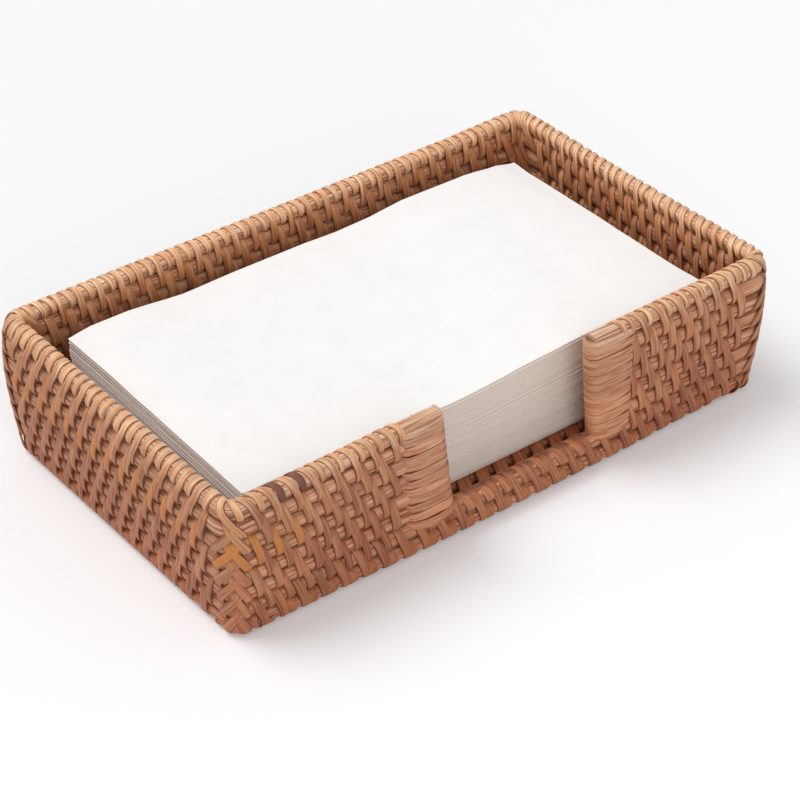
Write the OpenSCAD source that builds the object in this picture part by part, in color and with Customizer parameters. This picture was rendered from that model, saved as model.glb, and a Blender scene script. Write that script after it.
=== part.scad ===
// Open rectangular tray of coiled rattan that holds a stack of folded paper
// napkins, with a low notch in its front wall for taking one out.
// The wall is a stack of bent rods. Each strip of lacing goes round two rods,
// and each row of stitches sits half a step along from the row above it.
// Origin: middle of the underside. +X runs along the front, the notch faces -Y.

/* [Tray] */
// Outer length of the rim along X, over the lacing
tray_length = 250; // [200:5:320]
// Outer width of the rim along Y, over the lacing
tray_width = 149; // [135:1:200]
// How far the lowest rod of the wall stands in from the rim rod
wall_lean = 1.5; // [0:0.5:2.5]
// Bend radius of the rim rod's middle line at a corner
corner_radius = 7; // [6.5:0.5:12]

/* [Rattan] */
// Diameter of the rods
rod_diameter = 5.75; // [4.5:0.25:6.5]
// Thickness of the lacing strips
strip_thickness = 0.8; // [0.5:0.1:1.1]
// Width of the lacing strips
strip_width = 3.2; // [2:0.1:3.8]
// Step from one stitch to the next along a row, before it is evened out
stitch_step = 8.6; // [8.4:0.1:12]
// Bare length of rod between a bend and the first stitch after it
bend_gap = 1.3; // [1:0.1:4]
// Clearance between a strip and the rod that it is pulled round
lacing_fit = 0.05; // [0.02:0.01:0.1]

/* [Notch] */
// Clear width of the notch between its two posts
notch_width = 64; // [40:1:90]
// Width of the bound post to the left of the notch
left_post_width = 19; // [12:1:26]
// Width of the bound post to the right of the notch
right_post_width = 23; // [12:1:30]
// Height of one turn of the strip that binds a post
binding_turn = 3.3; // [2.5:0.1:5]
// Gap between two turns of the binding
binding_gap = 0.1; // [0.05:0.05:0.3]
// Inner radius of the binding's bends at the notch
binding_bend = 1.2; // [0.5:0.1:2]

/* [Napkins] */
// Room between the folded napkins and the foot of each wall
napkin_room = 9.55; // [3:0.05:25]
// Thickness of a folded napkin
napkin_thickness = 1.55; // [1:0.05:3]
// Number of napkins under the top one
napkins_below = 24; // [1:1:26]
// Corner radius of a folded napkin
napkin_corner = 1.5; // [0.5:0.5:5]
// Air between two napkins, and under the lowest one
napkin_gap = 0.06; // [0.03:0.01:0.2]

/* [Hidden] */

$fn = 32;
rod_colour = "tan";
strip_colour = "peru";
post_colour = "burlywood";
napkin_colour = "white";

// The wall's rods are numbered from the rim down; the last two cross the notch
wall_rod_count = 8;
sill_number = 7;
// Where a stitch stands in its step, as a ratio of the step, in odd and even rows
odd_row_ratio = 0.1;
even_row_ratio = 0.6;
// How far round a corner's bend its stitch stands, in degrees, in odd and even rows
odd_row_angle = 22;
even_row_angle = 68;

rod_radius = rod_diameter / 2;
skin = strip_thickness + lacing_fit;
// Two strips cross between one rod and the next, one hugging each rod
rod_pitch = rod_diameter + 2 * skin + lacing_fit;
foot_height = rod_radius + skin;

row_inset = wall_lean / (wall_rod_count - 1);
row_span = norm([row_inset, rod_pitch]);
lean_angle = atan2(row_inset, rod_pitch);

// Middle line of rod n: height, distance in from the rim rod, half sizes
function rod_height(n) = foot_height + (wall_rod_count - n) * rod_pitch;
function rod_inset(n) = row_inset * (n - 1);
function half_length(n) = tray_length / 2 - skin - rod_radius - rod_inset(n);
function half_width(n) = tray_width / 2 - skin - rod_radius - rod_inset(n);
function bend_radius(n) = corner_radius - rod_inset(n);

// The base: a border rod inside the foot rod, and straight rods inside that
border_half_length = half_length(wall_rod_count) - rod_pitch;
border_half_width = half_width(wall_rod_count) - rod_pitch;
border_bend_radius = rod_radius + 2 * strip_thickness;
base_gaps = floor(2 * border_half_width / rod_pitch);
base_pitch = 2 * border_half_width / base_gaps;
base_rod_half = border_half_length - rod_radius - 2 * skin;
base_top = foot_height + rod_radius + skin;
// How far the border rod's straight part ends short of the stitches on the wall
border_shortfall = wall_lean + rod_pitch + border_bend_radius - corner_radius - bend_gap;

napkin_length = 2 * (half_length(wall_rod_count) - rod_radius - skin - napkin_room);
napkin_width = 2 * (half_width(wall_rod_count) - rod_radius - skin - napkin_room);

// Stitches: walls are numbered 0 front, 1 right, 2 back, 3 left
function wall_half(wall) = (wall % 2 == 0 ? half_length(1) : half_width(1)) - corner_radius;
function wall_run(wall) = 2 * (wall_half(wall) - bend_gap);
function stitch_count(wall) = floor(wall_run(wall) / stitch_step);
function stitch_pitch(wall) = wall_run(wall) / stitch_count(wall);
function wall_distance(wall, n) = wall % 2 == 0 ? half_width(n) : half_length(n);

// Rows alternate between two places; a short wrap stands before each odd row's stitch
function row_ratio(row) = row % 2 == 1 ? odd_row_ratio : even_row_ratio;
wrap_ratio = 1 + odd_row_ratio - (strip_width + 2 * lacing_fit) / stitch_pitch(0);

post_outer_left = -notch_width / 2 - left_post_width;
post_outer_right = notch_width / 2 + right_post_width;
// The binding runs from the lowest cut rod's underside to the rim rod's middle line
binding_length = norm([rod_inset(sill_number - 1), rod_height(1) - rod_height(sill_number - 1)])
    + rod_radius;
binding_turns = floor(binding_length / (binding_turn + binding_gap));
binding_pitch = binding_length / binding_turns;

// A straight rod from the origin along -X
module straight_rod(length) {
    rotate([90, 0, -90]) linear_extrude(length) circle(d = rod_diameter);
}

// A rod bent into a rounded rectangle; front_gap leaves the notch open
module bent_rod(half_x, half_y, bend, front_gap = 0) {
    for (side = [0:3]) {
        along = side % 2 == 0 ? half_x : half_y;
        across = side % 2 == 0 ? half_y : half_x;
        rotate([0, 0, 90 * side]) {
            translate([along - bend, bend - across, 0]) rotate([0, 0, -90])
                rotate_extrude(angle = 90) translate([bend, 0]) circle(d = rod_diameter);
            if (side > 0 || front_gap == 0)
                translate([along - bend, -across, 0]) straight_rod(2 * (along - bend));
            else
                for (end = [along - bend, -front_gap])
                    translate([end, -across, 0]) straight_rod(along - bend - front_gap);
        }
    }
}

module wall_rod(n) {
    color(rod_colour) translate([0, 0, rod_height(n)])
        bent_rod(half_length(n), half_width(n), bend_radius(n),
                 n < sill_number ? notch_width / 2 + strip_thickness + binding_bend : 0);
}

module base_border_rod() {
    color(rod_colour) translate([0, 0, foot_height])
        bent_rod(border_half_length, border_half_width, border_bend_radius);
}

module base_rods() {
    color(rod_colour)
        for (i = [1:base_gaps - 1])
            translate([base_rod_half, i * base_pitch - border_half_width, foot_height])
                straight_rod(2 * base_rod_half);
}

// Outline of a strip pulled round rods whose middle lines are span apart
module ring_outline(span, radius) {
    circle(r = radius);
    translate([0, span]) circle(r = radius);
    translate([-radius, 0]) square([2 * radius, span]);
}

module stitch_outline(span) {
    difference() {
        ring_outline(span, rod_radius + skin);
        ring_outline(span, rod_radius + lacing_fit);
    }
}

module wrap_outline() {
    difference() {
        circle(r = rod_radius + skin);
        circle(r = rod_radius + lacing_fit);
    }
}

// Turns an outline so that its rods run along X and its height stands up
module across_rod(width) {
    rotate([90, 0, 90]) linear_extrude(width, center = true) children();
}

// Sets its children at every stitch along the walls, standing on rod n. None is set
// nearer than end_room to an end of the stitches' run, and on the front wall none
// between keep_out[0] and keep_out[1].
module along_walls(n, ratio, keep_out = [0, 0], end_room = 0) {
    for (wall = [0:3], i = [0:stitch_count(wall) - 1]) {
        x = (i + ratio) * stitch_pitch(wall) - wall_run(wall) / 2;
        kept_out = wall == 0 && x + strip_width / 2 > keep_out[0]
            && x - strip_width / 2 < keep_out[1];
        if (!kept_out && abs(x) < wall_run(wall) / 2 - end_room)
            rotate([0, 0, 90 * wall])
                translate([x, -wall_distance(wall, n), rod_height(n)]) children();
    }
}

// Row n of the lacing, round rods n and n + 1
module lacing_row(n) {
    posts = n < sill_number ? [post_outer_left, post_outer_right] : [0, 0];
    color(strip_colour)
        along_walls(n + 1, row_ratio(n), posts)
            rotate([lean_angle, 0, 0]) across_rod(strip_width) stitch_outline(row_span);
}

module rim_wraps() {
    color(strip_colour)
        along_walls(1, wrap_ratio, [post_outer_left, post_outer_right])
            across_rod(strip_width) wrap_outline();
}

// Short wraps that finish the sill, one between each two stitches of the notch
module sill_wraps() {
    half_room = notch_width / 2 - strip_width;
    color(strip_colour)
        for (i = [0:stitch_count(0) - 1]) {
            x = (i + wrap_ratio) * stitch_pitch(0) - wall_run(0) / 2;
            if (abs(x) < half_room)
                translate([x, -half_width(sill_number), rod_height(sill_number)])
                    across_rod(strip_width) wrap_outline();
        }
}

// Flat stitches that tie the base's border rod to the foot rod
module base_edge_lacing() {
    color(strip_colour)
        along_walls(wall_rod_count, even_row_ratio,
                    end_room = border_shortfall + strip_width / 2)
            rotate([-90, 0, 0]) across_rod(strip_width) stitch_outline(rod_pitch);
}

// Flat stitches between neighbours in the base, row by row from the front
module base_lacing() {
    room = base_rod_half - strip_width / 2;
    color(strip_colour)
        for (row = [0:base_gaps - 1], i = [0:stitch_count(0) - 1]) {
            x = (i + row_ratio(row + 1)) * stitch_pitch(0) - wall_run(0) / 2;
            if (abs(x) < room)
                translate([x, row * base_pitch - border_half_width, foot_height])
                    rotate([-90, 0, 0]) across_rod(strip_width) stitch_outline(base_pitch);
        }
}

// One stitch round rods n and n + 1 on the bend of a corner
module corner_stitch(n) {
    sweep = strip_width / corner_radius * 180 / PI;
    middle = n % 2 == 1 ? odd_row_angle : even_row_angle;
    translate([0, 0, rod_height(n + 1)]) rotate([0, 0, middle - sweep / 2])
        rotate_extrude(angle = sweep) translate([bend_radius(n + 1), 0])
            rotate(-lean_angle) stitch_outline(row_span);
}

// Corners are numbered 0 front right, then on round the tray
module at_corner(corner) {
    side_x = half_length(1) - corner_radius;
    side_y = half_width(1) - corner_radius;
    sign_x = corner == 0 || corner == 1 ? 1 : -1;
    sign_y = corner == 1 || corner == 2 ? 1 : -1;
    translate([sign_x * side_x, sign_y * side_y, 0]) rotate([0, 0, 90 * corner - 90]) children();
}

module corner_lacing(corner) {
    color(strip_colour) at_corner(corner)
        for (n = [1:wall_rod_count - 2]) corner_stitch(n);
}

module foot_corner_lacing() {
    color(strip_colour)
        for (corner = [0:3]) at_corner(corner) corner_stitch(wall_rod_count - 1);
}

// Plan of a post's end, from the notch face at the origin back along +X
module post_outline(face, reach, bend, length) {
    for (side = [-1, 1])
        translate([face + bend, side * (reach - bend)]) circle(r = bend);
    translate([face, bend - reach]) square([length, 2 * (reach - bend)]);
    translate([face + bend, -reach]) square([length - bend, 2 * reach]);
}

// Flat turns of strip round the end of the front wall, open towards the wall
module post_binding(width) {
    translate([notch_width / 2, -half_width(sill_number - 1), rod_height(sill_number - 1)])
        rotate([lean_angle, 0, 0])
            for (turn = [0:binding_turns - 1])
                translate([0, 0, turn * binding_pitch - rod_radius])
                    linear_extrude(binding_pitch - binding_gap)
                        difference() {
                            post_outline(0, rod_radius + skin, binding_bend + strip_thickness, width);
                            post_outline(strip_thickness, rod_radius + lacing_fit, binding_bend,
                                         width);
                        }
}

module left_post_binding() {
    color(post_colour) mirror([1, 0, 0]) post_binding(left_post_width);
}

module right_post_binding() {
    color(post_colour) post_binding(right_post_width);
}

module napkin() {
    inner = [napkin_length - 2 * napkin_corner, napkin_width - 2 * napkin_corner];
    linear_extrude(napkin_thickness) {
        square([napkin_length, inner[1]], center = true);
        square([inner[0], napkin_width], center = true);
        for (x = [-1, 1], y = [-1, 1]) translate([x * inner[0] / 2, y * inner[1] / 2])
            circle(r = napkin_corner);
    }
}

module napkin_stack() {
    color(napkin_colour)
        for (i = [0:napkins_below - 1])
            translate([0, 0, base_top + napkin_gap + i * (napkin_thickness + napkin_gap)]) napkin();
}

module top_napkin() {
    color(napkin_colour)
        translate([0, 0, base_top + napkin_gap + napkins_below * (napkin_thickness + napkin_gap)])
            napkin();
}

wall_rod(1);  // rim_rod
wall_rod(2);  // wall_rod_2
wall_rod(3);  // wall_rod_3
wall_rod(4);  // wall_rod_4
wall_rod(5);  // wall_rod_5
wall_rod(6);  // wall_rod_6
wall_rod(sill_number);  // sill_rod
wall_rod(wall_rod_count);  // foot_rod
base_border_rod();
base_rods();
rim_wraps();
lacing_row(1);  // lacing_1
lacing_row(2);  // lacing_2
lacing_row(3);  // lacing_3
lacing_row(4);  // lacing_4
lacing_row(5);  // lacing_5
lacing_row(6);  // lacing_6
lacing_row(7);  // lacing_7
sill_wraps();
base_edge_lacing();
base_lacing();
corner_lacing(0);  // corner_lacing_front_right
corner_lacing(1);  // corner_lacing_back_right
corner_lacing(2);  // corner_lacing_back_left
corner_lacing(3);  // corner_lacing_front_left
foot_corner_lacing();
left_post_binding();
right_post_binding();
napkin_stack();
top_napkin();
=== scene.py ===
import math
import random

import bmesh
import bpy
from mathutils import Matrix, Vector, noise


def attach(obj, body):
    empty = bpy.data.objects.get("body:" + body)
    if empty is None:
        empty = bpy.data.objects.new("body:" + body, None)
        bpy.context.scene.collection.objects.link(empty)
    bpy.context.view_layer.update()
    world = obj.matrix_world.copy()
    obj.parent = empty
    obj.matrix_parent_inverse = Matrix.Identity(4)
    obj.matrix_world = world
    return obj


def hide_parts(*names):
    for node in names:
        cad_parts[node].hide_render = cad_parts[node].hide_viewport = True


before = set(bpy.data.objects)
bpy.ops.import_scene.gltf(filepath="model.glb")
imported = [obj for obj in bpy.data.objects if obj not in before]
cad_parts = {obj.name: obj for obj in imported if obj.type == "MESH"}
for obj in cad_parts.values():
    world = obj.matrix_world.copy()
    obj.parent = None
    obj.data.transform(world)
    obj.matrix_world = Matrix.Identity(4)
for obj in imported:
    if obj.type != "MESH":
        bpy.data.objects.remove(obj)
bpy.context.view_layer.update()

# ---- Where the photograph is taken from -------------------------------------------------
# The camera looks over the tray's left front corner, 36 degrees above the table, with a
# long lens about 0.94 m from the tray's middle.
camera = bpy.data.objects.new("camera", bpy.data.cameras.new("camera"))
camera.data.sensor_width = 36
camera.data.lens = 109.84
camera.data.shift_x = 0.00967
camera.data.shift_y = 0.01817
camera_turn, camera_rise, camera_roll = -36.865, 35.977, -0.922
camera_distance = 0.93923
camera.matrix_world = (
    Matrix.Rotation(math.radians(camera_turn), 4, "Z")
    @ Matrix.Rotation(math.radians(90 - camera_rise), 4, "X")
    @ Matrix.Translation((0, 0, camera_distance))
    @ Matrix.Rotation(math.radians(camera_roll), 4, "Z")
)
bpy.context.scene.collection.objects.link(camera)
bpy.context.scene.camera = camera
bpy.context.scene.view_settings.view_transform = "Standard"


# ---- The studio: white table, soft window light -----------------------------------------
# A white laminate table top and a white room. The main light comes from above the back left
# and is as wide as a window, so the shadows fall softly towards the front right.
def linear(hex_colour):
    """An sRGB hex colour as the linear one that a shader takes."""
    parts = [int(hex_colour[i:i + 2], 16) / 255 for i in (1, 3, 5)]
    return [*(c / 12.92 if c <= 0.04045 else ((c + 0.055) / 1.055) ** 2.4 for c in parts), 1]


def add_node(tree, kind, inputs=None, **settings):
    """A shader node with its settings; each input is a value or another node's output."""
    made = tree.nodes.new("ShaderNode" + kind)
    for name, value in settings.items():
        setattr(made, name, value)
    for name, value in (inputs or {}).items():
        if isinstance(value, bpy.types.NodeSocket):
            tree.links.new(value, made.inputs[name])
        else:
            made.inputs[name].default_value = value
    return made


def seen_directly(tree, *other_rays):
    """1 for what the camera sees, directly or by the other rays named, and 0 for other light."""
    ray = add_node(tree, "LightPath").outputs
    seen = ray["Is Camera Ray"]
    for name in other_rays:
        seen = add_node(tree, "Math", {0: seen, 1: ray[name]}, operation="MAXIMUM").outputs[0]
    return seen


def new_material(name):
    """An empty material, and the tree that its nodes go into."""
    material = bpy.data.materials.new(name)
    material.use_nodes = True
    material.node_tree.nodes.clear()
    return material, material.node_tree


room_light = 0.5
world = bpy.data.worlds.new("white_room")
bpy.context.scene.world = world
world.use_nodes = True
tree = world.node_tree
tree.nodes.clear()
seen = seen_directly(tree, "Is Glossy Ray", "Is Transmission Ray")
strength = add_node(tree, "MapRange", {"Value": seen, "To Min": room_light, "To Max": 1.0})
background = add_node(tree, "Background", {"Color": linear("#ffffff"),
                                           "Strength": strength.outputs[0]})
add_node(tree, "OutputWorld", {"Surface": background.outputs[0]})

window = bpy.data.objects.new("window_light", bpy.data.lights.new("window_light", "SUN"))
window.data.energy = 1.58
window.data.angle = math.radians(38)
window.data.color = linear("#fffdfb")[:3]
window_turn, window_lean = 38, -30
window.rotation_euler = (Matrix.Rotation(math.radians(window_turn), 3, "Z")
                         @ Matrix.Rotation(math.radians(window_lean), 3, "X")).to_euler()
bpy.context.scene.collection.objects.link(window)

# A large soft disk stands in front, a little to the left, and opens up the shadows
fill = bpy.data.objects.new("fill_light", bpy.data.lights.new("fill_light", "AREA"))
fill.data.shape = "DISK"
fill.data.size = 0.9
fill.data.energy = 4.8
fill_turn, fill_lean, fill_distance = -20, 62, 1.4
fill.matrix_world = (Matrix.Rotation(math.radians(fill_turn), 4, "Z")
                     @ Matrix.Rotation(math.radians(fill_lean), 4, "X")
                     @ Matrix.Translation((0, 0, fill_distance)))
bpy.context.scene.collection.objects.link(fill)

# The laminate is matt, smooth and evenly white. Seen directly it glows a little, so that it
# runs into the white room behind it, and no light from that falls on the tray.
table_glow, table_half = 0.14, 4
laminate, tree = new_material("white_laminate")
seen = seen_directly(tree, "Is Glossy Ray")
lit = add_node(tree, "BsdfDiffuse", {"Color": linear("#eaebed")})
glow = add_node(tree, "Emission", {"Color": linear("#ffffff"), "Strength": table_glow})
glow_seen = add_node(tree, "MixShader", {0: seen, 2: glow.outputs[0]})
both = add_node(tree, "AddShader", {0: lit.outputs[0], 1: glow_seen.outputs[0]})
add_node(tree, "OutputMaterial", {"Surface": both.outputs[0]})
bm = bmesh.new()
bmesh.ops.create_grid(bm, x_segments=2, y_segments=2, size=table_half)
table_mesh = bpy.data.meshes.new("table_top")
bm.to_mesh(table_mesh)
bm.free()
table_mesh.materials.append(laminate)
table_top = bpy.data.objects.new("table_top", table_mesh)
bpy.context.scene.collection.objects.link(table_top)

# ---- The rods of the wall: peeled rattan core, bent round the tray -----------------------
# Eight rods stand one on another, the upper six cut at the notch, and a ninth lies inside
# the lowest one as the edge of the base. They are natural core with its skin scraped off,
# pressed a little flat against each other, with open grain. Sizes in millimetres.
rod_radius = 2.875
# Half the height of a rod between two others, which nearly touches them
pressed = 3.68
rod_pitch = 7.5
rim_height = 56.225
foot_height = 3.725
# The wall leans out over its seven steps, so its foot stands in from the rim
foot_inset = 1.5
lean_per_rod = foot_inset / 7
rim_half_length, rim_half_width, rim_bend = 121.275, 70.775, 4.7
flat_long, flat_short = 2 * (rim_half_length - rim_bend), 2 * (rim_half_width - rim_bend)
quarter_bend = rim_bend * math.pi / 2
outline_length = 2 * (flat_long + flat_short) + 4 * quarter_bend
# Where the rods are cut at the notch: the rim rod, then the others, and how much further on
# each one is cut than the rod above it
rim_cut_left, rim_cut_right = -33.9, 36.8
rod_cut_left, rod_cut_right = -36.0, 37.0
cut_step_left, cut_step_right = 0.5, 0.8
# Length of rod between two of its cross sections
rod_step = 1.6
chance = random.Random(7)
# How far the wall bellies out half way up, how far its rim lies high or low and how far its
# foot stands out, round the tray from the middle of the front, from the photograph:
# (place, belly, lift, foot)
hand_shape = ((-0.5, 1.8, 0, 0), (-0.4, 1.8, 0.2, 0.2), (-0.34, 2.6, 0.3, 0.5),
              (-0.25, 2.0, -0.3, 0.2), (-0.165, 1.3, -1.7, -0.2), (-0.11, 0.8, -0.9, 0.5),
              (-0.06, 0, 0, 1.6), (0, 0, 0, 1.6), (0.06, 0, 0, 1.3), (0.12, 0.3, 0.3, 0),
              (0.165, 1.8, 0.7, -1.1), (0.25, 1.4, 0.2, 0), (0.34, 1.3, 1.1, 0),
              (0.4, 1.6, 0.2, 0), (0.5, 1.8, 0, 0))


def on_tray(along, out, up):
    """A point of the wall and the direction that the wall runs in there. Along starts at
    the middle of the front and goes anticlockwise; out is from the rods' middles."""
    inset = (rim_height - up) / rod_pitch * lean_per_rod
    share = (along / outline_length + 0.5) % 1 - 0.5
    for before, after in zip(hand_shape, hand_shape[1:]):
        if share <= after[0]:
            part = (share - before[0]) / (after[0] - before[0])
            part = part * part * (3 - 2 * part)
            belly, lift, foot = (a + (b - a) * part for a, b in zip(before[1:], after[1:]))
            break
    depth = min(1, max(0, (rim_height + 1 - up) / (rim_height + 1 - foot_height)))
    inset -= belly * math.sin(math.pi * depth ** 0.75) + foot * depth ** 3
    up += lift * min(1, max(0, up / rim_height)) ** 1.5
    along = (along + flat_long / 2) % outline_length
    for wall in range(4):
        flat, reach = ((flat_long, rim_half_width), (flat_short, rim_half_length))[wall % 2]
        if along <= flat:
            point = Vector((along - flat / 2, inset - reach - out, up))
            heading = Vector((1, 0, 0))
            break
        along -= flat
        if along <= quarter_bend:
            turned = along / rim_bend
            radius = rim_bend - inset + out
            heading = Vector((math.cos(turned), math.sin(turned), 0))
            point = Vector((flat / 2 + radius * heading.y, rim_bend - reach - radius * heading.x, up))
            break
        along -= quarter_bend
    spun = Matrix.Rotation(wall * math.pi / 2, 3, "Z")
    return spun @ point, spun @ heading


def stock(section, steps):
    """Straight stock along X, one unit to a step, from a section of (across, up) corners."""
    bm = bmesh.new()
    end = bm.faces.new([bm.verts.new((0, across, up)) for across, up in section])
    bmesh.ops.spin(bm, geom=[end], axis=(0, 0, 1), dvec=(steps, 0, 0), angle=0, steps=1)
    lengthwise = [e for e in bm.edges if abs(e.verts[0].co.x - e.verts[1].co.x) > 0.5]
    bmesh.ops.subdivide_edges(bm, edges=lengthwise, cuts=steps - 1, use_grid_fill=True)
    strand = bm.verts.layers.float_vector.new("strand")
    cast = bm.verts.layers.float_vector.new("cast")
    return bm, strand, cast


def add_to(bm, part):
    """Puts one bmesh into another."""
    scrap = bpy.data.meshes.new("scrap")
    part.to_mesh(scrap)
    part.free()
    bm.from_mesh(scrap)
    bpy.data.meshes.remove(scrap)


def make_piece(name, bm, material, body, nodes, sharp_angle):
    """The finished mesh in metres, riding on its body in place of its CAD nodes."""
    bmesh.ops.recalc_face_normals(bm, faces=bm.faces)
    mesh = bpy.data.meshes.new(name)
    bm.to_mesh(mesh)
    bm.free()
    mesh.transform(Matrix.Scale(0.001, 4))
    mesh.materials.append(material)
    mesh.shade_smooth()
    mesh.set_sharp_from_angle(angle=math.radians(sharp_angle))
    piece = bpy.data.objects.new(name, mesh)
    bpy.context.scene.collection.objects.link(piece)
    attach(piece, body)
    if nodes:
        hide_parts(*nodes)
    return piece


def bent_rod(seed, length, start, steps, place, closed, rise=pressed, drop=pressed):
    """A rod of slightly uneven thickness, laid along place(distance, out, up)."""
    section = [(math.cos(i * math.pi / 9), math.sin(i * math.pi / 9)) for i in range(18)]
    bm, strand, cast = stock(section, steps)
    shade = random.Random(seed).uniform(-1, 1)
    for v in bm.verts:
        along, out, up = v.co.x / steps * length, v.co.y, v.co.z
        thick = 1 + 0.03 * noise.noise(Vector((along / 17, out, up + seed)))
        drift = 0.1 * noise.noise(Vector((along / 23, seed, 4)))
        around = math.atan2(up, out) * rod_radius
        v[strand] = (along * 0.001, around * 0.001 + seed, 0)
        # Where the rod touches the next one, its core takes painted shade
        painted_seam_shade = max(0, abs(up) - 0.7) / 0.3 if up < 0 or rise != rod_radius else 0
        tone = shade * 0.5 + 0.5 * noise.noise(Vector((along / 40, seed, 9)))
        # Painted light and shade: the core is painted paler inside the tray and at the back,
        # and painted darker on the outside of the left wall
        tone += 0.6 * max(0, -out)
        middle = place(start + along, 0, 0)
        if not closed and out > 0 and middle.x < 2 - rim_half_length:
            tone -= 1.0
        if middle.y > rim_half_width - 2:
            tone += 0.5
        v[cast] = (tone, 0, painted_seam_shade)
        out = math.copysign(abs(out) ** 0.8, out) * rod_radius * thick
        up = math.copysign(abs(up) ** 0.9, up) * (rise if up > 0 else drop)
        v.co = place(start + along, out, up + drift)
    if closed:
        ends = [f for f in bm.faces if len(f.verts) > 4]
        bmesh.ops.delete(bm, geom=ends, context="FACES_ONLY")
        bmesh.ops.remove_doubles(bm, verts=bm.verts, dist=0.25)
    else:
        bmesh.ops.bevel(bm, geom=[e for f in bm.faces if len(f.verts) > 4 for e in f.edges],
                        offset=0.25, segments=2, profile=0.5, affect="EDGES", material=-1)
    return bm


# In metres, as the shader measures it
wall_top = 0.0598


def darker_below(tree, colour, foot, middle, shoulder):
    """The rattan is painted a lighter straw colour at the rim and browner and redder towards
    the foot: partly its own colour, partly painted light at the rim and painted shade below.
    """
    height = add_node(tree, "SeparateXYZ", {
        0: add_node(tree, "TexCoord").outputs["Object"]}).outputs["Z"]
    share = add_node(tree, "MapRange", {"Value": height, "From Min": 0.0, "From Max": wall_top})
    tint = add_node(tree, "ValToRGB", {"Fac": share.outputs[0]})
    stops = tint.color_ramp.elements
    stops[0].position, stops[0].color = 0.0, linear(foot)
    stops[1].position, stops[1].color = 1.0, linear("#ffffff")
    stops.new(0.55).color = linear(middle)
    stops.new(0.86).color = linear(shoulder)
    return add_node(tree, "Mix", {0: 1.0, 6: colour, 7: tint.outputs[0]},
                    data_type="RGBA", blend_type="MULTIPLY").outputs[2]


def rattan_grain(tree, fine, coarse, stained, tones):
    """What the core and its skin have in common: fine grain along the strand, broader stains,
    and each rod's or turn's own tone. Fine and coarse are each the changes per metre, the
    detail and the roughness of a noise, and its first, last and other colours. Stained is how
    strongly the stains show, and tones are the darkest and the lightest value."""
    strand = add_node(tree, "Attribute", attribute_name="strand").outputs["Vector"]
    cast = add_node(tree, "SeparateXYZ", {
        0: add_node(tree, "Attribute", attribute_name="cast").outputs["Vector"]}).outputs
    streaks, colours = [], []
    for scale, detail, roughness, first, last, *others in (fine, coarse):
        drawn_out = add_node(tree, "Mapping", {"Vector": strand, "Scale": scale}).outputs[0]
        streaks.append(add_node(tree, "TexNoise", {"Vector": drawn_out, "Scale": 1.0,
                                                   "Detail": detail,
                                                   "Roughness": roughness}).outputs[0])
        ramp = add_node(tree, "ValToRGB", {"Fac": streaks[-1]})
        stops = ramp.color_ramp.elements
        stops[0].position, stops[0].color = first[0], linear(first[1])
        stops[1].position, stops[1].color = last[0], linear(last[1])
        for share, hex_colour in others:
            stops.new(share).color = linear(hex_colour)
        colours.append(ramp.outputs[0])
    colour = add_node(tree, "Mix", {0: stained, 6: colours[0], 7: colours[1]},
                      data_type="RGBA", blend_type="MULTIPLY").outputs[2]
    value = add_node(tree, "MapRange", {"Value": cast["X"], "From Min": -1.0, "From Max": 1.0,
                                        "To Min": tones[0], "To Max": tones[1]}).outputs[0]
    colour = add_node(tree, "HueSaturation", {"Color": colour, "Value": value}).outputs[0]
    return colour, streaks[0], cast


def scraped_core():
    """Peeled rattan core: pale, dull, with the open grain as fine grooves along the rod."""
    material, tree = new_material("peeled_rattan_core")
    # The pores are 0.3 mm apart on the real core and drawn at 0.8 mm, to show at all
    colour, grooves, cast = rattan_grain(
        tree, ((32, 1250, 1250), 2.0, 0.6, (0.36, "#a0694a"), (0.64, "#f9e6c8"), (0.48, "#edc19c")),
        ((45, 420, 420), 2.0, 0.5, (0.3, "#cc9578"), (0.6, "#ffffff")), 0.7, (0.84, 1.16))
    # Paler towards the rim and darker towards the foot, partly as painted light and shade
    colour = darker_below(tree, colour, "#dab09a", "#e0c0ae", "#dfc6b6")
    # Painted shade: where two rods touch, the core is painted dark brown
    painted_seam_shade = add_node(tree, "Math", {0: cast["Z"], 1: 0.75}, operation="MULTIPLY").outputs[0]
    colour = add_node(tree, "Mix", {0: painted_seam_shade, 6: colour, 7: linear("#5c3426")},
                      data_type="RGBA").outputs[2]
    bump = add_node(tree, "Bump", {"Height": grooves, "Strength": 1.0, "Distance": 0.0004})
    shader = add_node(tree, "BsdfPrincipled", {"Base Color": colour, "Roughness": 0.62,
                                               "Normal": bump.outputs[0]})
    add_node(tree, "OutputMaterial", {"Surface": shader.outputs[0]})
    return material


core = scraped_core()
wall_nodes = ["rim_rod", "wall_rod_2", "wall_rod_3", "wall_rod_4", "wall_rod_5", "wall_rod_6",
              "sill_rod", "foot_rod"]
for number, node_name in enumerate(wall_nodes, 1):
    height = rim_height - (number - 1) * rod_pitch
    whole = number > 6
    cut_left = rim_cut_left if number == 1 else rod_cut_left + (number - 1) * cut_step_left
    cut_right = rim_cut_right if number == 1 else rod_cut_right + (number - 1) * cut_step_right
    length = outline_length - (0 if whole else cut_right - cut_left)
    bm = bent_rod(number, length, -flat_long / 2 if whole else cut_right, round(length / rod_step),
                  lambda along, out, up: on_tray(along, out, height + up)[0], whole,
                  rise=rod_radius if number == 1 else pressed,
                  drop=rod_radius if number == 8 else pressed)
    make_piece(node_name.replace("rod", "core_rod"), bm, core, "tray", [node_name],
               60)

# ---- The rods of the base ----------------------------------------------------------------
# One rod is bent into a ring inside the foot rod, and fifteen straight ones lie side by
# side in it. They are the same core as the wall's.
border_half = Vector((112.275, 61.775))
border_bend = 4.475
base_rod_count = 15
base_pitch = 2 * border_half.y / (base_rod_count + 1)
base_rod_half = 107.7


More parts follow.
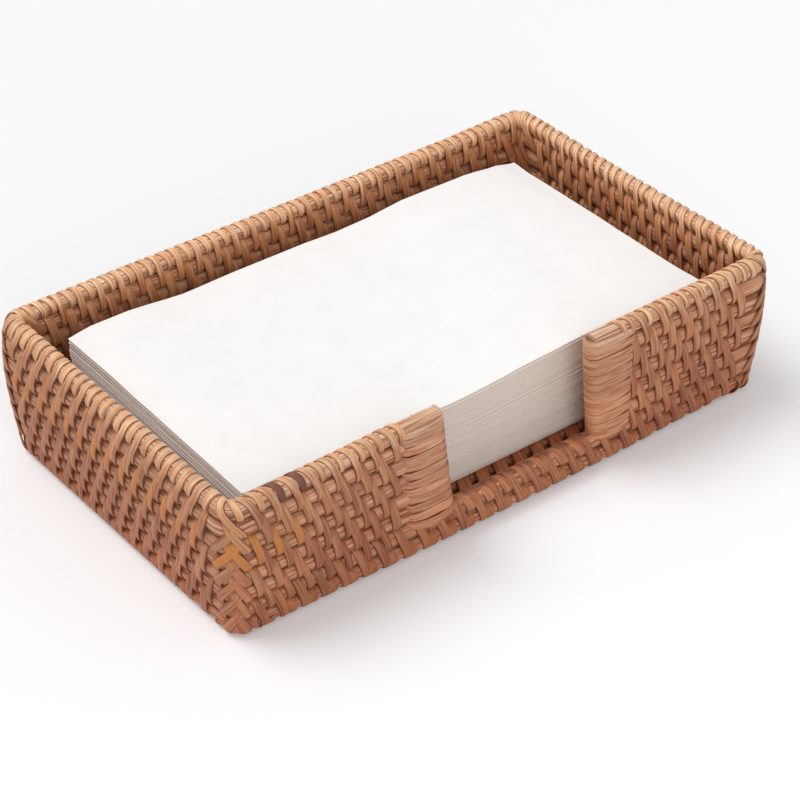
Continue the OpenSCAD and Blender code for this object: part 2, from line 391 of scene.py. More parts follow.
def on_border(along, out, up):
    """A point on the ring inside the foot rod, anticlockwise from its front left bend."""
    for side in range(4):
        half, reach = (border_half.x, border_half.y)[::1 if side % 2 == 0 else -1]
        flat = 2 * (half - border_bend)
        if along <= flat:
            point = Vector((along - flat / 2, -reach - out, foot_height + up))
            break
        along -= flat
        if along <= border_bend * math.pi / 2 + 0.001:
            turned = along / border_bend
            radius = border_bend + out
            point = Vector((flat / 2 + radius * math.sin(turned),
                            border_bend - reach - radius * math.cos(turned), foot_height + up))
            break
        along -= border_bend * math.pi / 2
    return Matrix.Rotation(side * math.pi / 2, 3, "Z") @ point


border_length = 4 * (border_half.x + border_half.y - 2 * border_bend) + 2 * math.pi * border_bend
make_piece("base_border_core_rod",
           bent_rod(9, border_length, 0, 400, on_border, True, rod_radius, rod_radius), core,
           "tray", ["base_border_rod"], 60)
bm = bmesh.new()
for number in range(1, base_rod_count + 1):
    row_y = number * base_pitch - border_half.y
    add_to(bm, bent_rod(20 + number, 2 * base_rod_half, -base_rod_half, 70,
                        lambda along, out, up: Vector((along, row_y + out, foot_height + up)),
                        False, rod_radius, rod_radius))
make_piece("base_core_rods", bm, core, "tray", ["base_rods"], 60)

# ---- The lacing of the base: split rattan strip ------------------------------------------
# Each row ties two neighbouring rods of the base with one strip, wound round both and
# moving a step on at each turn. The rows stand half a step apart by turns. The strip is
# split from rattan with its smooth skin outside, and is never quite even in width.
strip_thickness = 0.8
# How much taller than a round rod the strip's way is where the rods are pressed together
strip_squeeze = 1.165
core_radius = rod_radius + 0.05
front_count, side_count = 26, 14
front_step, side_step = 225.95 / front_count, 124.95 / side_count
# By what share of a step the odd rows are set on, and the even ones
row_shares = (0.1, 0.6)
# How far a turn leans below the base, and how broad its strip is
base_lean, base_strip_width = 2.6, 3.6


def round_rods(length, span, rise, drop):
    """Where a strip is after a length round two rods, from the crown down the outside: the
    height of the middle it turns about, and which way it faces, as (out, up)."""
    quarter = core_radius * math.pi / 2
    length %= 4 * quarter + 2 * span
    if length < quarter:
        angle, middle, squash = length / core_radius, span, rise
    elif length < quarter + span:
        angle, middle, squash = math.pi / 2, span + quarter - length, 1
    elif length < 3 * quarter + span:
        angle, middle, squash = (length - span) / core_radius, 0, drop
    elif length < 3 * quarter + 2 * span:
        angle, middle, squash = math.pi * 1.5, length - 3 * quarter - span, 1
    else:
        angle, middle, squash = (length - 2 * span) / core_radius, span, rise
    return middle, math.sin(angle), math.cos(angle) * squash


def smooth_step(start, end, slopes, run, share):
    """From start to end over a run, leaving and arriving at the given slopes."""
    s, s2, s3 = share, share * share, share ** 3
    value = (start * (2 * s3 - 3 * s2 + 1) + end * (3 * s2 - 2 * s3)
             + run * (slopes[0] * (s3 - 2 * s2 + s) + slopes[1] * (s3 - s2)))
    rate = ((end - start) * (6 * s - 6 * s2) / run + slopes[0] * (3 * s2 - 4 * s + 1)
            + slopes[1] * (3 * s2 - 2 * s))
    return value, rate


def wind(marks, first, last, span, width, place, looks, seed, slope=(0.25, 0.15), bulge=0.3,
         rise=strip_squeeze, drop=strip_squeeze, per_quarter=4, spread=0):
    """One strip wound from turn number first to last. Marks are the places of each turn's
    crown and foot along the wall; looks gives the cast of a turn; place lays it in the tray.
    Spread is how much broader the strip lies on the inside."""
    quarter = core_radius * math.pi / 2
    run = 2 * quarter + span
    straight = 2 if span else 0
    half_steps = 2 * per_quarter + straight
    lengths = [quarter * i / per_quarter for i in range(per_quarter)]
    lengths += [quarter + span * i / max(straight, 1) for i in range(straight)]
    lengths += [quarter + span + quarter * i / per_quarter for i in range(per_quarter)]
    steps = round((last - first) * 2) * half_steps
    half, low = width / 2, strip_thickness * 0.62
    section = [(-half, 0), (-half * 0.95, low), (-half * 0.5, strip_thickness),
               (half * 0.5, strip_thickness), (half * 0.95, low), (half, 0)]
    bm, strand, cast = stock(section, steps)
    for v in bm.verts:
        step = round(v.co.x) + round(first * 2) * half_steps
        side, part = divmod(step, half_steps)
        turn, inside = divmod(side, 2)
        length = lengths[part]
        if step == round(last * 2) * half_steps:
            side, length = side - 1, run
            turn, inside = divmod(side, 2)
        ends = ((marks[turn][0], marks[turn][1]) if not inside
                else (marks[turn][1], marks[turn + 1][0]))
        along, rate = smooth_step(*ends, slope[::-1] if inside else slope, run, length / run)
        angle = math.atan(rate)
        breadth = 1 + 0.14 * noise.noise(Vector((step / half_steps * 0.8, seed, 1)))
        across = v.co.y * breadth
        twist = 0.12 * noise.noise(Vector((step / half_steps * 0.9, seed, 5)))
        arch = bulge * math.sin(math.pi * min(max((length - quarter) / span, 0), 1)) if span else 0
        middle, out, up = round_rods(length + inside * run - across * math.sin(angle), span,
                                     rise, drop)
        across *= 1 + spread * max(0, -out)
        high = core_radius + v.co.z + arch + across * twist
        v[strand] = (step * run / half_steps * 0.001, v.co.y * 0.001 + seed, abs(v.co.y) / half)
        tone, orange, dark = looks(turn + inside * (part > 1))
        if up < 0 or rise != 1:
            # Painted shade: the strip is painted browner where it goes in between two rods
            dark = max(dark, 0.8 * (1 - abs(out) / 0.65))
        # Its tone changes at random from side to side, and it is painted paler inside the tray,
        # as painted light
        tone += 0.8 * noise.noise(Vector((side * 1.7, seed, 3))) + 0.9 * max(0, -out)
        v[cast] = (tone, orange, dark)
        point, heading = place(along, out * high, middle + up * high)
        v.co = point + heading * across * math.cos(angle)
    return bm


def split_strip(name, fibre_colours, height_tone_and_shade, roughness):
    """Split rattan, skin side out: smooth and a little shiny, with long fine fibres."""
    material, tree = new_material(name)
    darkest, middling, palest = fibre_colours
    # Fibres are about 0.2 mm wide and 20 mm long, and drawn 0.7 mm wide so that they show
    colour, fibres, cast = rattan_grain(
        tree, ((60, 1500, 0), 3.0, 0.65, (0.35, darkest), (0.66, palest), (0.5, middling)),
        ((110, 380, 0), 2.0, 0.5, (0.32, "#dba98c"), (0.6, "#ffffff")), 0.6, (0.72, 1.16))
    strand = add_node(tree, "Attribute", attribute_name="strand").outputs["Vector"]
    # The edges are painted browner: partly the raw split edge, partly painted shade along them
    raw_edge_and_shade = add_node(tree, "MapRange", {
        "Value": add_node(tree, "SeparateXYZ", {0: strand}).outputs["Z"],
        "From Min": 0.8, "From Max": 1.0, "To Min": 0.0, "To Max": 0.8}).outputs[0]
    # Single turns are orange or dark brown, the dark brown also painting the shade where a strip
    # goes in between rods, and the edges are raw and painted browner than the skin
    for share, painted in ((cast["Y"], "#f2b352"), (cast["Z"], "#6a3829"), (raw_edge_and_shade, "#8c5238")):
        colour = add_node(tree, "Mix", {0: share, 6: colour, 7: linear(painted)},
                          data_type="RGBA").outputs[2]
    # Paler towards the rim and darker towards the foot, partly as painted light and shade
    colour = darker_below(tree, colour, *height_tone_and_shade)
    bump = add_node(tree, "Bump", {"Height": fibres, "Strength": 0.7, "Distance": 0.0002})
    shader = add_node(tree, "BsdfPrincipled", {"Base Color": colour, "Roughness": roughness,
                                               "Normal": bump.outputs[0]})
    add_node(tree, "OutputMaterial", {"Surface": shader.outputs[0]})
    return material


skin = split_strip("split_rattan_skin", ("#b67f54", "#ebbb8f", "#fbe0b8"),
                   ("#c4977e", "#cca894", "#d8bca8"), 0.5)
bm = bmesh.new()
for row in range(base_rod_count + 1):
    row_y = row * base_pitch - border_half.y
    columns = [(i + row_shares[row % 2]) * front_step - front_count * front_step / 2
               for i in range(1, front_count - 1)]
    marks = [(x + chance.uniform(-0.6, 0.2), x + base_lean + chance.uniform(-0.4, 0.4))
             for x in columns]
    add_to(bm, wind(marks, 0, len(marks) - 1, base_pitch, base_strip_width,
                    lambda along, out, up: (Vector((along, row_y + up, foot_height - out)),
                                            Vector((1, 0, 0))),
                    lambda turn: (0.4 * noise.noise(Vector((turn * 0.7, row, 2))) - 0.2, 0, 0),
                    50 + row, rise=1, drop=1, per_quarter=3, spread=0.6))
make_piece("base_strips", bm, skin, "tray", ["base_lacing"], 50)

# ---- The lacing between base and wall ----------------------------------------------------
# A strip ties the foot rod to the ring inside it. Outside, its turns show between the feet
# of the wall's lowest row, as short browner ends that go in under the tray.
edge_share, edge_lean, edge_strip_width = 0.54, 3, 4.5
wall_facts = ((flat_long, front_count, front_step), (flat_short, side_count, side_step)) * 2


def columns_of(wall, ratio):
    """Where the stitches of a row stand along one wall, on the way round the tray."""
    flat, count, step = wall_facts[wall]
    middle = wall * outline_length / 4
    if wall == 3:
        middle -= outline_length
    return [middle + (i + ratio - count / 2) * step for i in range(count)]


bm = bmesh.new()
for wall in range(4):
    marks = [(along + chance.uniform(-0.4, 0.4), along + edge_lean + chance.uniform(-0.4, 0.4))
             for along in columns_of(wall, edge_share)[:-1]]
    add_to(bm, wind(marks, 0, len(marks) - 1, rod_pitch, edge_strip_width,
                    lambda along, out, up: on_tray(along, up - rod_pitch, foot_height - out),
                    lambda turn: (0.5 * noise.noise(Vector((turn * 0.7, wall, 6))), 0.25, 0.08),
                    70 + wall, slope=(0.45, 0.3), rise=1, drop=1, spread=0.5))
make_piece("base_edge_strip", bm, skin, "tray", ["base_edge_lacing"], 50)

# At each corner four turns fan out across the wider gap between the two bends. The middle
# of a bend stands in from its corner by 0.293 of its radius, in x and in y.
bend_inset = 0.293
inner_corner = Vector((border_half.x - bend_inset * border_bend,
                       border_half.y - bend_inset * border_bend))
outer_corner = Vector((rim_half_length - foot_inset - bend_inset * rim_bend,
                       rim_half_width - foot_inset - bend_inset * rim_bend))
# For so far to each side the foot curves away as a circle does, and then it runs straight on
curve_half, curve_depth, curve_radius_squared = 3.3, 1.4, 22.1
fan_places, fan_lean, fan_strip_width = (-6.6, -2.6, 1.4, 5.4), 1.2, 3.6
bm = bmesh.new()
for sign_x, sign_y in ((1, 1), (-1, 1), (-1, -1), (1, -1)):
    def across_corner(along, out, up):
        """A point across a corner of the foot; along is sideways, up is outwards."""
        recede = (curve_depth + abs(along) - curve_half if abs(along) > curve_half
                  else rim_bend - math.sqrt(curve_radius_squared - along ** 2))
        outward = Vector((1, 1)).normalized()
        flat = inner_corner + outward * (up - recede) + Vector((-outward.y, outward.x)) * along
        return (Vector((flat.x * sign_x, flat.y * sign_y, foot_height - out)),
                Vector((-outward.y * sign_x, outward.x * sign_y, 0)))

    marks = [(place + chance.uniform(-0.3, 0.3), place + fan_lean) for place in fan_places]
    add_to(bm, wind(marks, 0, 3.5, (outer_corner - inner_corner).length, fan_strip_width,
                    across_corner, lambda turn: (0.1, 0.1, 0), 80 + sign_x + 2 * sign_y,
                    rise=1, drop=1, spread=0.2))
make_piece("foot_corner_strips", bm, skin, "tray", ["foot_corner_lacing"], 50)

# ---- The lacing of the wall --------------------------------------------------------------
# Each row is one long strip: down the outside over two rods, in below the lower one, and
# up the inside to the next step. Odd and even rows stand half a step apart, so the feet of
# one row lie beside the crowns of the next. At a corner a stitch falls to each side.

# How far the stitches lean on the outside, read off the photograph: on the right, back and
# left wall, how much more they lean on the rim there, and on the front for each row, left
# and right of the notch
outside_lean = {1: 5.5, 2: 5.5, 3: -2.6}
more_on_rim = {1: 0.8, 2: 0.2, 3: -1.6}
front_leans = ((5.0, 4.6, 4.6, 3.8, 3.6, 4.6, 5.2), (5.6, 3.1, 3.0, 3.1, 3.8, 5.4, 5.8))
# How steeply the strip leaves the crowns on each wall's rim
rim_slopes = (0.5, 0.6, 0.2, 0.3)
post_left, post_right = -51.0, 55.0
# Left of the notch the front's stitches stand a little closer than the even division sets
# them, counted from the first one, and right of it all of them stand a little further left
first_even, first_place, closer = -112.1, -113.2, 0.954
way_right, between_posts = -1.2, -45
# The strip of each row is cut to its own width, and lies narrower on some walls
row_widths = (3.2, 4.3, 3.4, 3.2, 4.1, 3.4, 4.0)
wall_widths = (0.89, 0.88, 0.85, 0.97)
corner_names = ("front_right", "back_right", "back_left", "front_left")
corner_rows = [bmesh.new() for corner in range(4)]


def row_looks(row, wall=None):
    """A row's strip changes a little in tone from stitch to stitch, and one is orange. Left of
    the notch the front is darker, and the back is painted paler, as painted light."""
    paler = {0: -0.35, 2: 0.6}.get(wall, 0)

    def looks(turn):
        tone = paler + 0.9 * noise.noise(Vector((turn * 0.61, row * 3.1, 8)))
        orange = 0.75 if row == 3 and (wall == 3 or wall == 0 and turn < 4) else 0
        return tone, orange, 0
    return looks


for row in range(1, 8):
    lower_height = rim_height - row * rod_pitch
    squeeze = dict(rise=1 if row == 1 else strip_squeeze,
                   drop=1 if row == 7 else strip_squeeze)
    place = lambda along, out, up: on_tray(along, out, lower_height + up)
    walls = []
    for wall in range(4):
        marks = []
        for along in columns_of(wall, row_shares[(row - 1) % 2]):
            if wall == 0 and row < 7:
                along = (first_place + (along - first_even) * closer if along < between_posts
                         else along + way_right)
            if wall == 0:
                lean = front_leans[along > 0][row - 1]
            else:
                lean = outside_lean[wall] + (more_on_rim[wall] if row == 1 else 0)
            centre = along + chance.uniform(-0.35, 0.35)
            half_lean = lean / 2 + chance.uniform(-0.3, 0.3)
            marks.append((centre - half_lean, centre + half_lean))
        walls.append(marks)
    # Each corner takes one stitch on the rim, and below it one back and one onwards
    corners = []
    for wall in range(4):
        bend = wall * outline_length / 4 + wall_facts[wall][0] / 2 + quarter_bend / 2
        if wall == 3:
            bend -= outline_length
        onwards = (bend - 0.6 - chance.uniform(0, 0.5), bend + 3.9 + chance.uniform(-0.5, 0.4))
        back = (bend + 0.8 + chance.uniform(0, 0.5), bend - 3.6 + chance.uniform(-0.4, 0.5))
        corners.append([(bend - 2.6, bend + 3.4)] if row == 1 else [back, onwards])
        bridge = [walls[wall][-1]] + corners[-1]
        looks = row_looks(row, 3 if wall == 3 else None)
        add_to(corner_rows[wall], wind(bridge, 0.5, len(bridge) - 0.5, rod_pitch,
                                       3.5 + chance.uniform(-0.3, 0.3), place, looks,
                                       row + 90 + wall, bulge=0.1, **squeeze))
    bm = bmesh.new()
    for wall in range(4):
        round_back = outline_length if wall == 3 else 0
        marks = [tuple(end - round_back for end in corners[wall - 1][-1])] + walls[wall]
        lots = [marks]
        if wall == 0 and row < 7:
            lots = [[m for m in marks if m[1] < post_left],
                    [m for m in marks if m[0] > post_right - 2]]
            lots[1].insert(0, (lots[1][0][0] - front_step, lots[1][0][1] - front_step))
        for lot in lots:
            add_to(bm, wind(lot, 0.5, len(lot) - 0.5, rod_pitch,
                            row_widths[row - 1] * wall_widths[wall], place,
                            row_looks(row, wall if lot[0][0] < 0 or wall else None),
                            row + 10 * wall, bulge=0.5 if wall == 3 else 0.3,
                            slope=(rim_slopes[wall] if row == 1 else 0.3, 0.1), **squeeze))
    make_piece(f"row_{row}_strip", bm, skin, "tray", [f"lacing_{row}"], 50)
    if row == 1:
        # The crowns on the rim and their walls, from the right post round to the left one
        rim_marks = [(m[0], wall) for wall in range(3) for m in walls[wall] + corners[wall]
                     if wall or m[0] > post_right - 2]
        rim_marks += [(m[0] + outline_length, 3) for m in walls[3] + corners[3]]
        rim_marks += [(m[0] + outline_length, 0) for m in walls[0] if m[1] < post_left]
for name, bm in zip(corner_names, corner_rows):
    make_piece(f"corner_strips_{name}", bm, skin, "tray", [f"corner_lacing_{name}"],
               50)

# ---- The short wraps on rim and sill -----------------------------------------------------
# Between two long stitches the strip goes once round the top rod alone, on the rim and on
# the sill of the notch, which leaves a narrow patch of bare core on each side.

# How far they lean on each wall, outside and inside, and how broad they are there
wrap_lean, inside_lean = (1.9, 2.4, 0.8, -0.6), (2.7, 1.5, 2.7, 4.0)
rim_wrap_widths, sill_wrap_width = (2.7, 2.6, 2.7, 3.3), 4.2
wrap_spacing = 4.4
# How far before the first crown and after the last one the wraps beside the posts begin
start_gap, end_gap = 12, 9
# How far left of the sill's stitches its wraps have their feet, and how far left of the
# middle between two stitches their crowns
sill_foot_back, sill_crown_back = 2.2, 2.15
# Two wraps at the left of the front are of dark brown strip
dark_places, dark_reach = (-102.5, -93.5), 2.5


def short_wraps(places, height, width, seed, dark_ones=(), paler=0.15):
    """Single turns round one rod, at places of (crown, foot outside, foot inside)."""
    bm = bmesh.new()
    for number, (crown, foot, foot_inside) in enumerate(places):
        tone = 0.6 * noise.noise(Vector((number * 0.9, seed, 7))) + paler
        dark = 0.95 if number in dark_ones else 0
        add_to(bm, wind([(0, foot_inside), (crown, foot)], 0.5, 1.5, 0, width,
                        lambda along, out, up: on_tray(along, out, height + up),
                        lambda turn: (tone, 0, dark), seed + number * 0.37, slope=(0.4, 0.1),
                        rise=1, drop=strip_squeeze, per_quarter=5))
    return bm


bm = bmesh.new()
rim_marks.sort()
rim_marks = [(rim_marks[0][0] - start_gap, 0)] + rim_marks + [(rim_marks[-1][0] + end_gap, 0)]
for wall in range(4):
    places = []
    for (before, _), (after, side) in zip(rim_marks, rim_marks[1:]):
        if side != wall:
            continue
        wraps = max(1, round((after - before) / wrap_spacing) - 1)
        for i in range(wraps):
            crown = before + (after - before) * (i + 1) / (wraps + 1) + chance.uniform(-0.3, 0.3)
            places.append((crown, crown + wrap_lean[wall] + chance.uniform(-0.3, 0.3),
                           crown - inside_lean[wall]))
    dark_ones = [n for n, place in enumerate(places) if wall == 0
                 and any(abs(place[0] - outline_length - x) < dark_reach for x in dark_places)]
    # The wraps on the back are painted paler, as painted light
    add_to(bm, short_wraps(places, rim_height, rim_wrap_widths[wall], 120 + wall, dark_ones,
                           0.55 if wall == 2 else 0.15))
make_piece("rim_wrap_strip", bm, skin, "tray", ["rim_wraps"], 50)
places = []
for along in columns_of(0, row_shares[0]):
    if rod_cut_left < along < rod_cut_right + 1:
        crown = along - sill_crown_back - front_step / 2 + chance.uniform(-0.3, 0.3)
        places.append((crown, along - sill_foot_back + chance.uniform(-0.3, 0.3),
                       crown - inside_lean[0]))
make_piece("sill_wrap_strip",
           short_wraps(places, rim_height - 6 * rod_pitch, sill_wrap_width, 140), skin,
           "tray", ["sill_wraps"], 50)

# ---- The bindings of the notch: broad flat strip -----------------------------------------
# Beside the notch the cut ends of the rods are wound with a broader, paler strip, turn upon
# turn. The turns lie over each other unevenly, and are pinched where they go in through
# the weave.
post_thickness = 0.8
# The post's edges are rounded off by so much under the strip
post_radius = 3.1
# How often the strip goes round, and the height of its lowest and highest turn
post_turns, post_low, post_high = 12, 14.2, 55.2
post_strip_half = 2.05
# From this height on the post's edges run to their lower places, within this drop
edge_top, edge_drop = 54, 38


def bind_post(near, far, seed):
    """Turns of flat strip round the rods. Near is the notch's edge and far the weave's, each
    as the place at the top and the place at the bottom."""
    direction = 1 if far[0] > near[0] else -1
    flat = abs(sum(far) - sum(near)) / 2 - 2 * (post_radius + post_thickness)
    bend = math.pi * post_radius
    around = 2 * (flat + bend)
    turns, per_turn, half = post_turns, 36, post_strip_half
    section = [(-half, 0), (-half * 0.93, post_thickness * 0.75), (-half * 0.3, post_thickness),
               (half * 0.3, post_thickness), (half * 0.93, post_thickness * 0.75), (half, 0)]
    bm, strand, cast = stock(section, turns * per_turn)
    luck = random.Random(seed)
    offsets = [luck.uniform(-0.4, 0.4) for turn in range(turns + 2)]
    tones = [luck.uniform(-0.6, 0.6) for turn in range(turns + 2)]
    for v in bm.verts:
        turn, part = divmod(round(v.co.x), per_turn)
        # From the middle of the back: half of it, the notch end, the front, the weave end
        run = around * part / per_turn - flat / 2
        over = run - bend - flat
        if run < 0:
            across, facing = -run / flat, (0, -1)
        elif run < bend:
            angle = run / post_radius
            across, facing = 0, (-math.sin(angle), -math.cos(angle))
        elif over < 0:
            across, facing = 1 + over / flat, (0, 1)
        elif over < bend:
            angle = over / post_radius
            across, facing = 1, (math.sin(angle), math.cos(angle))
        else:
            across, facing = 1 - (over - bend) / flat, (0, -1)
        pinched = 1 if over > 0 else max(0, 1 + over / 4) if run > bend else 0
        # The strip climbs to its next turn behind the post; the last turn stays where it is
        share = min(1, max(0, over / (bend + flat / 2)))
        share *= share * (3 - 2 * share)
        level = min(turns - 1, turn + share)
        offset = offsets[turn] + (offsets[turn + 1] - offsets[turn]) * share
        tone = tones[turn] + (tones[turn + 1] - tones[turn]) * share
        sag = (1.1 if turn == 0 else 0.35) * math.sin(math.pi * across) * max(0, facing[1])
        height = post_low + (post_high - post_low) * level / (turns - 1) + offset - sag
        breadth = (1 - 0.16 * pinched) * (1 + 0.12 * noise.noise(Vector((turn * 1.3, seed, 2))))
        swell = 0.25 * noise.noise(Vector((turn * 1.7, across * flat / 9, seed)))
        lift = post_radius + v.co.z + 0.15 + swell - 0.3 * pinched
        if turn == turns - 1:
            # Its upper edge leans on the rim rod
            lift -= 0.4 * max(0, v.co.y / half)
        v[strand] = ((turn * around + run) * 0.001, v.co.y * 0.001 + seed, abs(v.co.y) / half)
        v[cast] = (tone * 0.8, 0, 0)
        down = min(1, max(0, (edge_top - height) / edge_drop))
        inner = near[0] + (near[1] - near[0]) * down + direction * (post_radius + post_thickness)
        outer = far[0] + (far[1] - far[0]) * down - direction * (post_radius + post_thickness)
        v.co = on_tray(inner + (outer - inner) * across + direction * facing[0] * lift,
                       facing[1] * lift, height + v.co.y * breadth)[0]
    return bm


# Paler and pinker than the lacing, flat and dull from handling
pale = split_strip("pale_split_rattan", ("#c4936e", "#f0c8a6", "#fde4c8"),
                   ("#dcb098", "#dcbcaa", "#d8beae"), 0.58)
make_piece("left_post_strip", bind_post((-32.0, -27.4), (-52.2, -48.8), 31), pale, "tray",
           ["left_post_binding"], 50)
make_piece("right_post_strip", bind_post((34.3, 37.6), (57.4, 57.4), 37), pale, "tray",
           ["right_post_binding"], 50)

# ---- The napkins: white airlaid paper, folded --------------------------------------------
# Forty dinner napkins lie in the tray, each a soft sheet of 336 by 426 mm folded in
# three and then in half. The pile is not quite level: it bulges along the back and sinks
# towards the notch, and each napkin lies a little out of line with the next.
napkin_length, napkin_width = 213.0, 112.0
pile_low, napkin_count = 7.51, 40
paper_thickness = 0.06
# How far the pile lies clear of the base, and how far its sheets stay below its top
above_base, below_top = 0.15, 0.4
# How much painted shade the paper takes, from 0 to 1: in the gaps of the folds, inside a
# napkin, along its long edges and on the nose of its last fold
gap_shade, inner_shade, edge_shade, nose_shade = 0.9, 0.5, 0.08, 0.04
# How much flatter the pile presses a napkin at its fold and along its long edges, and how
# far in that reaches
fold_pinch, fold_reach, edge_pinch, edge_reach = 0.42, 9, 0.2, 4
# Height of the pile's top along its four edges in the photograph, as (place, height)
back_edge = ((-106, 51.6), (-96, 53.0), (-80, 52.9), (-72, 52.2), (-56, 50.6), (-30, 51.2),
             (0, 51.2), (16, 50.6), (32, 51.2), (48, 52.9), (80, 52.7), (96, 51.2), (106, 49.2))
front_edge = ((-106, 47.2), (-60, 46.0), (-30, 44.8), (-12, 44.4), (0, 45.0), (24, 46.6),
              (48, 47.6), (80, 47.0), (106, 46.4))
left_edge = ((-56, 47.2), (-28, 48.4), (8, 49.6), (26, 50.6), (56, 51.0))
right_edge = ((-56, 46.4), (-42, 45.9), (-10, 46.4), (6, 46.9), (46, 47.2), (56, 48.0))


def along_edge(edge, place):
    """The edge's height at a place, smooth between the measured ones."""
    for (a, low), (b, high) in zip(edge, edge[1:]):
        if place <= b or b == edge[-1][0]:
            share = min(1, max(0, (place - a) / (b - a)))
            return low + (high - low) * share * share * (3 - 2 * share)


def pile_top(x, y):
    """The pile's top, blended from its four edges."""
    u = min(1, max(0, (x + 106) / 212))
    w = min(1, max(0, (y + 56) / 112))
    low, high = along_edge(front_edge, x), along_edge(back_edge, x)
    left, right = along_edge(left_edge, y), along_edge(right_edge, y)
    corners = ((front_edge[0][1] * (1 - u) + front_edge[-1][1] * u) * (1 - w)
               + (back_edge[0][1] * (1 - u) + back_edge[-1][1] * u) * w)
    return low * (1 - w) + high * w + left * (1 - u) + right * u - corners


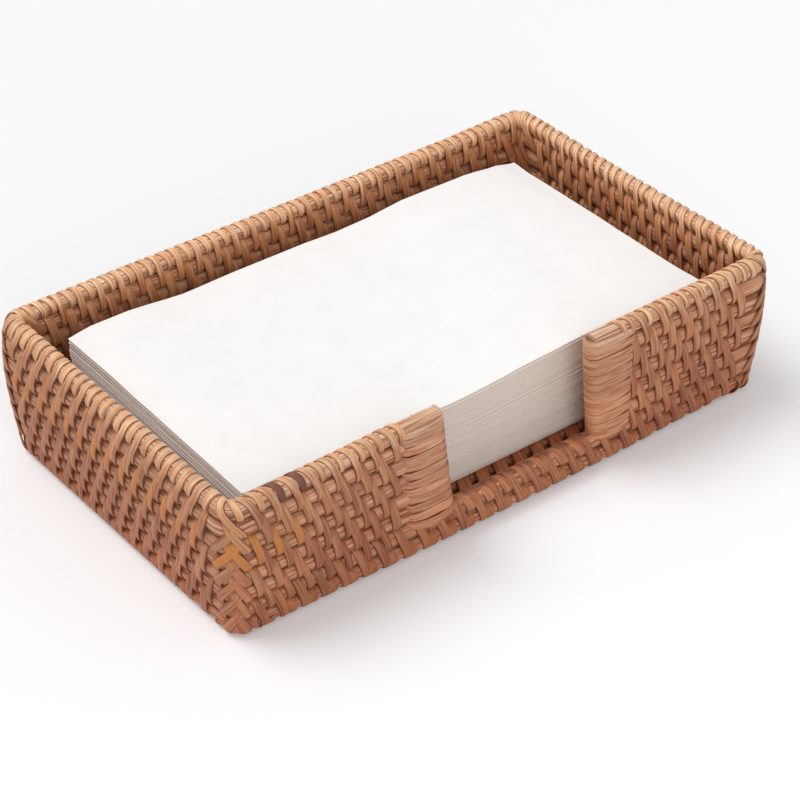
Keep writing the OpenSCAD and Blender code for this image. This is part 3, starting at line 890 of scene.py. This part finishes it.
def fold_napkin(number):
    """A flat grid folded in three over its width and then in half over its length."""
    luck = random.Random(number + 500)
    shift = Vector((luck.uniform(-0.2, 0.2), luck.uniform(-0.3, 0.3), 0))
    turned = luck.uniform(-0.001, 0.001)
    thick = 1 / napkin_count
    base = number * thick
    cuts_y = [0.3, 1.5, 5, 14, 28, 42, 56, 70, 84, 98, 107, 110.5, 111.7]
    cuts_x = [0, 1.5, 5, 14, 26, 42, 58, 74, 90, 106, 122, 138, 154, 170, 186, 198, 207, 211]
    if number > napkin_count - 3:
        # The two napkins that can be seen from above are bent more finely
        cuts_x = sorted(cuts_x + [(a + b) / 2 for a, b in zip(cuts_x, cuts_x[1:]) if b - a > 8])
        cuts_y = sorted(cuts_y + [(a + b) / 2 for a, b in zip(cuts_y, cuts_y[1:]) if b - a > 8])
    rows = []
    for panel in range(3):
        ways = cuts_y if panel % 2 == 0 else cuts_y[::-1]
        rows += [(panel, across) for across in ways]
        if panel < 2:
            rows.append((panel + 0.5, napkin_width if panel == 0 else 0))
    # The last fold goes round in steps of 30 degrees
    half_turn = range(-90, 91, 30)
    bm = bmesh.new()
    columns = len(cuts_x) * 2 + len(half_turn)
    bmesh.ops.create_grid(bm, x_segments=columns - 1, y_segments=len(rows) - 1, size=0.5)
    cloth = bm.verts.layers.float_vector.new("cloth")
    for v in bm.verts:
        i = round((v.co.x + 0.5) * (columns - 1))
        j = round((v.co.y + 0.5) * (len(rows) - 1))
        panel, across = rows[j]
        y = across - napkin_width / 2
        if across < 0.6 and panel > 0:
            # The soft folds swell at the front edge and nearly touch each other
            panel += (panel - 1.5) * 0.7
        fold_radius = (5 - 2 * panel) / 2
        edge = min(across, napkin_width - across) < 0.6
        if i < len(cuts_x):
            x, level = napkin_length / 2 - cuts_x[i], panel
            flat_x = cuts_x[i]
        elif i < len(cuts_x) + len(half_turn):
            angle = math.radians(half_turn[i - len(cuts_x)])
            x = 1.3 - napkin_length / 2 - fold_radius * 0.3 * math.cos(angle)
            level = 2.5 + fold_radius * math.sin(angle)
            flat_x = napkin_length
        else:
            cut = cuts_x[::-1][i - len(cuts_x) - len(half_turn)]
            x, level = napkin_length / 2 - cut, 5 - panel
            flat_x = 2 * napkin_length - cut
        flat_y = napkin_width * 2 - across if 0 < panel < 2 else round(panel) * napkin_width + across
        if number == napkin_count - 1 and level > 4:
            fold = 0
        elif flat_x == napkin_length:
            # Round the nose the painted shade grows from its front to its ends
            fold = nose_shade + (1 - nose_shade) * abs(half_turn[i - len(cuts_x)] / 90) ** 2
        elif edge:
            fold = edge_shade
        elif panel == 0:
            fold = gap_shade if abs(flat_x - napkin_length) < 3 else 0
        else:
            fold = inner_shade
        v[cloth] = (flat_x * 0.001, flat_y * 0.001, fold)
        pinch = 1 - fold_pinch * math.exp(-max(0, x + napkin_length / 2) / fold_reach)
        pinch *= 1 - edge_pinch * math.exp(-max(0, napkin_width / 2 - abs(y)) / edge_reach)
        wave = 0.25 * noise.noise(Vector((x / 45, y / 30, number * 0.2)))
        place = Vector((x, y, 0)) + shift + Vector((-y * turned, x * turned, 0))
        place.x += 0.12 * noise.noise(Vector((y / 22, number * 3.3, 1)))
        place.y += 0.12 * noise.noise(Vector((x / 30, number * 3.3, 4)))
        top = pile_top(x, y) - pile_low - below_top
        share = base + thick * (0.5 + (level - 2.5) / 6 * pinch)
        place.z = pile_low + above_base + top * share + wave * thick * 6 * share
        v.co = place
    bmesh.ops.recalc_face_normals(bm, faces=bm.faces)
    bmesh.ops.solidify(bm, geom=bm.faces[:] + bm.edges[:] + bm.verts[:], thickness=paper_thickness)
    return bm


def soft_paper():
    """Airlaid paper: a soft white web without gloss, finely pitted by its embossing."""
    material, tree = new_material("airlaid_paper")
    cloth = add_node(tree, "Attribute", attribute_name="cloth").outputs["Vector"]
    fold = add_node(tree, "SeparateXYZ", {0: cloth}).outputs["Z"]
    cloth = add_node(tree, "Mapping", {"Vector": cloth, "Scale": (1, 1, 0)}).outputs[0]
    # The embossed dots are 1 mm apart
    pits = add_node(tree, "TexVoronoi", {"Vector": cloth, "Scale": 1000.0}, distance="EUCLIDEAN",
                    feature="F1").outputs["Distance"]
    fluff = add_node(tree, "TexNoise", {"Vector": cloth, "Scale": 90.0, "Detail": 3.0}).outputs[0]
    colour = add_node(tree, "ValToRGB", {"Fac": fluff})
    stops = colour.color_ramp.elements
    stops[0].position, stops[0].color = 0.3, linear("#f5f4f3")
    stops[1].position, stops[1].color = 0.7, linear("#f9f8f7")
    # Painted light and shade: the folded edges are painted creamier, as warm light from the
    # rattan, and brown in their gaps, as painted shade with the rattan's own light
    tint = add_node(tree, "ValToRGB", {"Fac": fold})
    stops = tint.color_ramp.elements
    stops[0].position, stops[0].color = 0.0, linear("#ffffff")
    stops[1].position, stops[1].color = 1.0, linear("#744636")
    stops.new(0.08).color = linear("#fff6ef")
    colour = add_node(tree, "Mix", {0: 1.0, 6: colour.outputs[0], 7: tint.outputs[0]},
                      data_type="RGBA", blend_type="MULTIPLY")
    bump = add_node(tree, "Bump", {"Height": pits, "Strength": 0.25, "Distance": 0.0001})
    shader = add_node(tree, "BsdfPrincipled", {"Base Color": colour.outputs[2], "Roughness": 0.9,
                                               "Normal": bump.outputs[0],
                                               "Specular IOR Level": 0.2})
    add_node(tree, "OutputMaterial", {"Surface": shader.outputs[0]})
    return material


paper = soft_paper()
for number in range(napkin_count):
    top = number == napkin_count - 1
    name = "top_napkin_sheet" if top else f"napkin_{number + 1:02d}"
    napkin = make_piece(name, fold_napkin(number), paper, "first_napkin" if top else "napkins",
                        ["top_napkin"] if top else ["napkin_stack"] if number == 0 else [],
                        80)
